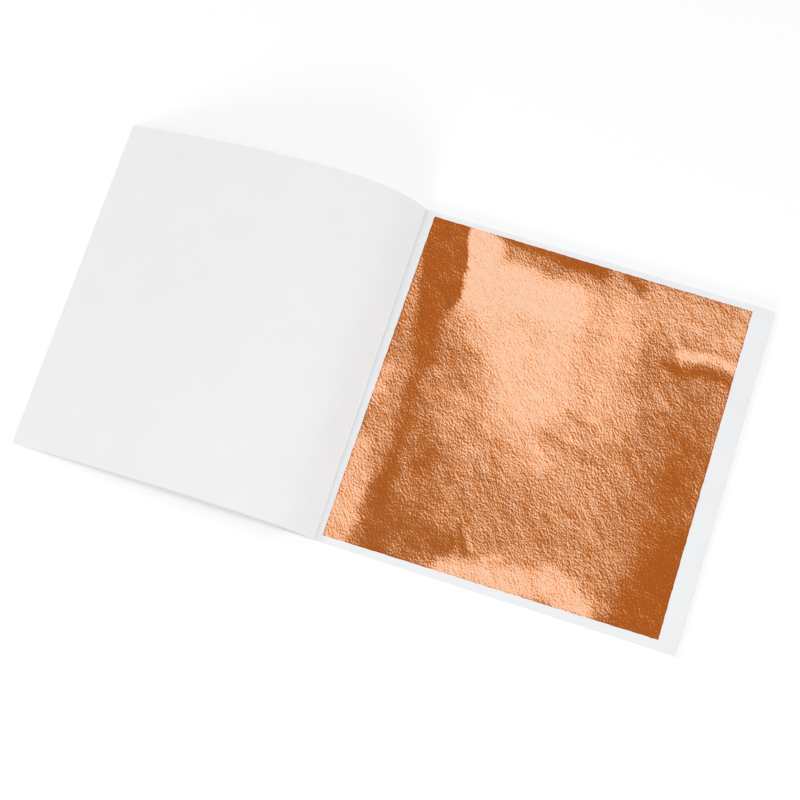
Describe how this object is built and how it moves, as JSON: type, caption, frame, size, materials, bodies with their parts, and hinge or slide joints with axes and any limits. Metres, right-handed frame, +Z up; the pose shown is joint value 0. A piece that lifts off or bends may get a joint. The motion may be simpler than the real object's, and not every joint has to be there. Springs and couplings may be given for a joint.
{
  "type": "metal leaf booklet",
  "caption": "Open booklet of square copper-toned metal leaves on white tissue pages, with a thin cover sheet turned over to the left.",
  "frame": {"origin": "on the table plane, at the middle of the gutter, in the underside of the back cover", "axes": "+X across the pages to their fore edge, +Y along the gutter to the head, +Z up"},
  "size_m": [0.2854, 0.147, 0.0219],
  "materials": {
    "card": "matte white card",
    "page_paper": "matte white tissue",
    "cover_paper": "matte white paper",
    "metal_leaf": "bright crinkled copper-toned foil",
    "staple_wire": "plain bright wire"
  },
  "bodies": {
    "binding": {"back_cover": "card", "bound_stubs": "page_paper", "staples": "staple_wire"},
    "cover_1": {"front_cover_fold_1": "cover_paper"},
    "cover_2": {"front_cover_fold_2": "cover_paper"},
    "cover_3": {"front_cover_fold_3": "cover_paper"},
    "cover_4": {"front_cover_fold_4": "cover_paper"},
    "cover_5": {"front_cover_fold_5": "cover_paper"},
    "cover_6": {"front_cover_fold_6": "cover_paper"},
    "page_01": {"tissue_page_01": "page_paper"},
    "page_02": {"tissue_page_02": "page_paper", "leaf_02": "metal_leaf"},
    "page_03": {"tissue_page_03": "page_paper", "leaf_03": "metal_leaf"},
    "page_04": {"tissue_page_04": "page_paper", "leaf_04": "metal_leaf"},
    "page_05": {"tissue_page_05": "page_paper", "leaf_05": "metal_leaf"},
    "page_06": {"tissue_page_06": "page_paper", "leaf_06": "metal_leaf"},
    "page_07": {"tissue_page_07": "page_paper", "leaf_07": "metal_leaf"},
    "page_08": {"tissue_page_08": "page_paper", "leaf_08": "metal_leaf"},
    "page_09": {"tissue_page_09": "page_paper", "leaf_09": "metal_leaf"},
    "page_10": {"tissue_page_10": "page_paper", "leaf_10": "metal_leaf"},
    "page_11": {"tissue_page_11": "page_paper", "leaf_11": "metal_leaf"},
    "page_12": {"tissue_page_12": "page_paper", "leaf_12": "metal_leaf"},
    "page_13": {"tissue_page_13": "page_paper", "leaf_13": "metal_leaf"},
    "page_14": {"tissue_page_14": "page_paper", "leaf_14": "metal_leaf"},
    "page_15": {"tissue_page_15": "page_paper", "leaf_15": "metal_leaf"},
    "page_16": {"tissue_page_16": "page_paper", "leaf_16": "metal_leaf"},
    "page_17": {"tissue_page_17": "page_paper", "leaf_17": "metal_leaf"},
    "page_18": {"tissue_page_18": "page_paper", "leaf_18": "metal_leaf"},
    "page_19": {"tissue_page_19": "page_paper", "leaf_19": "metal_leaf"},
    "page_20": {"tissue_page_20": "page_paper", "leaf_20": "metal_leaf"},
    "page_21": {"tissue_page_21": "page_paper", "leaf_21": "metal_leaf"},
    "page_22": {"tissue_page_22": "page_paper", "leaf_22": "metal_leaf"},
    "page_23": {"tissue_page_23": "page_paper", "leaf_23": "metal_leaf"},
    "page_24": {"tissue_page_24": "page_paper", "leaf_24": "metal_leaf"},
    "page_25": {"tissue_page_25": "page_paper", "leaf_25": "metal_leaf"},
    "loose_leaf": {"leaf_01": "metal_leaf"}
  },
  "joints": [
    {"name": "cover_turn", "type": "hinge", "parent": "binding", "child": "cover_1", "pos_m": [0, 0, 0.0028], "axis": [0, 1, 0], "range_deg": [0, 123]},
    {"name": "cover_bend_2", "type": "hinge", "parent": "cover_1", "child": "cover_2", "pos_m": [-0.00654, 0, 0.01286], "axis": [0, 1, 0], "range_deg": [0, 28]},
    {"name": "cover_bend_3", "type": "hinge", "parent": "cover_2", "child": "cover_3", "pos_m": [-0.01703, 0, 0.01868], "axis": [0, 1, 0], "range_deg": [0, 18]},
    {"name": "cover_bend_4", "type": "hinge", "parent": "cover_3", "child": "cover_4", "pos_m": [-0.03274, 0, 0.02173], "axis": [0, 1, 0], "range_deg": [0, 12.5]},
    {"name": "cover_bend_5", "type": "hinge", "parent": "cover_4", "child": "cover_5", "pos_m": [-0.05473, 0, 0.02116], "axis": [0, 1, 0], "range_deg": [0, 9.5]},
    {"name": "cover_bend_6", "type": "hinge", "parent": "cover_5", "child": "cover_6", "pos_m": [-0.0881, 0, 0.01467], "axis": [0, 1, 0], "range_deg": [0, 6.8]},
    {"name": "page_turn", "type": "hinge", "parent": "binding", "child": "page_01", "pos_m": [0, 0, 0.0028], "axis": [0, 1, 0], "range_deg": [-120, 0]},
    {"name": "page_turn_02", "type": "hinge", "parent": "binding", "child": "page_02", "pos_m": [0, 0, 0.0028], "axis": [0, 1, 0], "range_deg": [-117, 0]},
    {"name": "page_turn_03", "type": "hinge", "parent": "binding", "child": "page_03", "pos_m": [0, 0, 0.0028], "axis": [0, 1, 0], "range_deg": [-114, 0]},
    {"name": "page_turn_04", "type": "hinge", "parent": "binding", "child": "page_04", "pos_m": [0, 0, 0.0028], "axis": [0, 1, 0], "range_deg": [-111, 0]},
    {"name": "page_turn_05", "type": "hinge", "parent": "binding", "child": "page_05", "pos_m": [0, 0, 0.0028], "axis": [0, 1, 0], "range_deg": [-108, 0]},
    {"name": "page_turn_06", "type": "hinge", "parent": "binding", "child": "page_06", "pos_m": [0, 0, 0.0028], "axis": [0, 1, 0], "range_deg": [-105, 0]},
    {"name": "page_turn_07", "type": "hinge", "parent": "binding", "child": "page_07", "pos_m": [0, 0, 0.0028], "axis": [0, 1, 0], "range_deg": [-102, 0]},
    {"name": "page_turn_08", "type": "hinge", "parent": "binding", "child": "page_08", "pos_m": [0, 0, 0.0028], "axis": [0, 1, 0], "range_deg": [-99, 0]},
    {"name": "page_turn_09", "type": "hinge", "parent": "binding", "child": "page_09", "pos_m": [0, 0, 0.0028], "axis": [0, 1, 0], "range_deg": [-96, 0]},
    {"name": "page_turn_10", "type": "hinge", "parent": "binding", "child": "page_10", "pos_m": [0, 0, 0.0028], "axis": [0, 1, 0], "range_deg": [-93, 0]},
    {"name": "page_turn_11", "type": "hinge", "parent": "binding", "child": "page_11", "pos_m": [0, 0, 0.0028], "axis": [0, 1, 0], "range_deg": [-90, 0]},
    {"name": "page_turn_12", "type": "hinge", "parent": "binding", "child": "page_12", "pos_m": [0, 0, 0.0028], "axis": [0, 1, 0], "range_deg": [-87, 0]},
    {"name": "page_turn_13", "type": "hinge", "parent": "binding", "child": "page_13", "pos_m": [0, 0, 0.0028], "axis": [0, 1, 0], "range_deg": [-84, 0]},
    {"name": "page_turn_14", "type": "hinge", "parent": "binding", "child": "page_14", "pos_m": [0, 0, 0.0028], "axis": [0, 1, 0], "range_deg": [-81, 0]},
    {"name": "page_turn_15", "type": "hinge", "parent": "binding", "child": "page_15", "pos_m": [0, 0, 0.0028], "axis": [0, 1, 0], "range_deg": [-78, 0]},
    {"name": "page_turn_16", "type": "hinge", "parent": "binding", "child": "page_16", "pos_m": [0, 0, 0.0028], "axis": [0, 1, 0], "range_deg": [-75, 0]},
    {"name": "page_turn_17", "type": "hinge", "parent": "binding", "child": "page_17", "pos_m": [0, 0, 0.0028], "axis": [0, 1, 0], "range_deg": [-72, 0]},
    {"name": "page_turn_18", "type": "hinge", "parent": "binding", "child": "page_18", "pos_m": [0, 0, 0.0028], "axis": [0, 1, 0], "range_deg": [-69, 0]},
    {"name": "page_turn_19", "type": "hinge", "parent": "binding", "child": "page_19", "pos_m": [0, 0, 0.0028], "axis": [0, 1, 0], "range_deg": [-66, 0]},
    {"name": "page_turn_20", "type": "hinge", "parent": "binding", "child": "page_20", "pos_m": [0, 0, 0.0028], "axis": [0, 1, 0], "range_deg": [-63, 0]},
    {"name": "page_turn_21", "type": "hinge", "parent": "binding", "child": "page_21", "pos_m": [0, 0, 0.0028], "axis": [0, 1, 0], "range_deg": [-60, 0]},
    {"name": "page_turn_22", "type": "hinge", "parent": "binding", "child": "page_22", "pos_m": [0, 0, 0.0028], "axis": [0, 1, 0], "range_deg": [-57, 0]},
    {"name": "page_turn_23", "type": "hinge", "parent": "binding", "child": "page_23", "pos_m": [0, 0, 0.0028], "axis": [0, 1, 0], "range_deg": [-54, 0]},
    {"name": "page_turn_24", "type": "hinge", "parent": "binding", "child": "page_24", "pos_m": [0, 0, 0.0028], "axis": [0, 1, 0], "range_deg": [-51, 0]},
    {"name": "page_turn_25", "type": "hinge", "parent": "binding", "child": "page_25", "pos_m": [0, 0, 0.0028], "axis": [0, 1, 0], "range_deg": [-48, 0]},
    {"name": "leaf_slide", "type": "slide", "parent": "page_01", "child": "loose_leaf", "axis": [1, 0, 0], "range_m": [0, 0.15]}
  ],
  "couplings": [
    {"joint": "cover_bend_2", "follows": "cover_turn", "ratio": 0.22764},
    {"joint": "cover_bend_3", "follows": "cover_turn", "ratio": 0.14634},
    {"joint": "cover_bend_4", "follows": "cover_turn", "ratio": 0.10163},
    {"joint": "cover_bend_5", "follows": "cover_turn", "ratio": 0.077236},
    {"joint": "cover_bend_6", "follows": "cover_turn", "ratio": 0.055263},
    {"joint": "page_turn_02", "follows": "page_turn", "ratio": 0.975},
    {"joint": "page_turn_03", "follows": "page_turn", "ratio": 0.95},
    {"joint": "page_turn_04", "follows": "page_turn", "ratio": 0.925},
    {"joint": "page_turn_05", "follows": "page_turn", "ratio": 0.9},
    {"joint": "page_turn_06", "follows": "page_turn", "ratio": 0.875},
    {"joint": "page_turn_07", "follows": "page_turn", "ratio": 0.85},
    {"joint": "page_turn_08", "follows": "page_turn", "ratio": 0.825},
    {"joint": "page_turn_09", "follows": "page_turn", "ratio": 0.8},
    {"joint": "page_turn_10", "follows": "page_turn", "ratio": 0.775},
    {"joint": "page_turn_11", "follows": "page_turn", "ratio": 0.75},
    {"joint": "page_turn_12", "follows": "page_turn", "ratio": 0.725},
    {"joint": "page_turn_13", "follows": "page_turn", "ratio": 0.7},
    {"joint": "page_turn_14", "follows": "page_turn", "ratio": 0.675},
    {"joint": "page_turn_15", "follows": "page_turn", "ratio": 0.65},
    {"joint": "page_turn_16", "follows": "page_turn", "ratio": 0.625},
    {"joint": "page_turn_17", "follows": "page_turn", "ratio": 0.6},
    {"joint": "page_turn_18", "follows": "page_turn", "ratio": 0.575},
    {"joint": "page_turn_19", "follows": "page_turn", "ratio": 0.55},
    {"joint": "page_turn_20", "follows": "page_turn", "ratio": 0.525},
    {"joint": "page_turn_21", "follows": "page_turn", "ratio": 0.5},
    {"joint": "page_turn_22", "follows": "page_turn", "ratio": 0.475},
    {"joint": "page_turn_23", "follows": "page_turn", "ratio": 0.45},
    {"joint": "page_turn_24", "follows": "page_turn", "ratio": 0.425},
    {"joint": "page_turn_25", "follows": "page_turn", "ratio": 0.4}
  ]
}
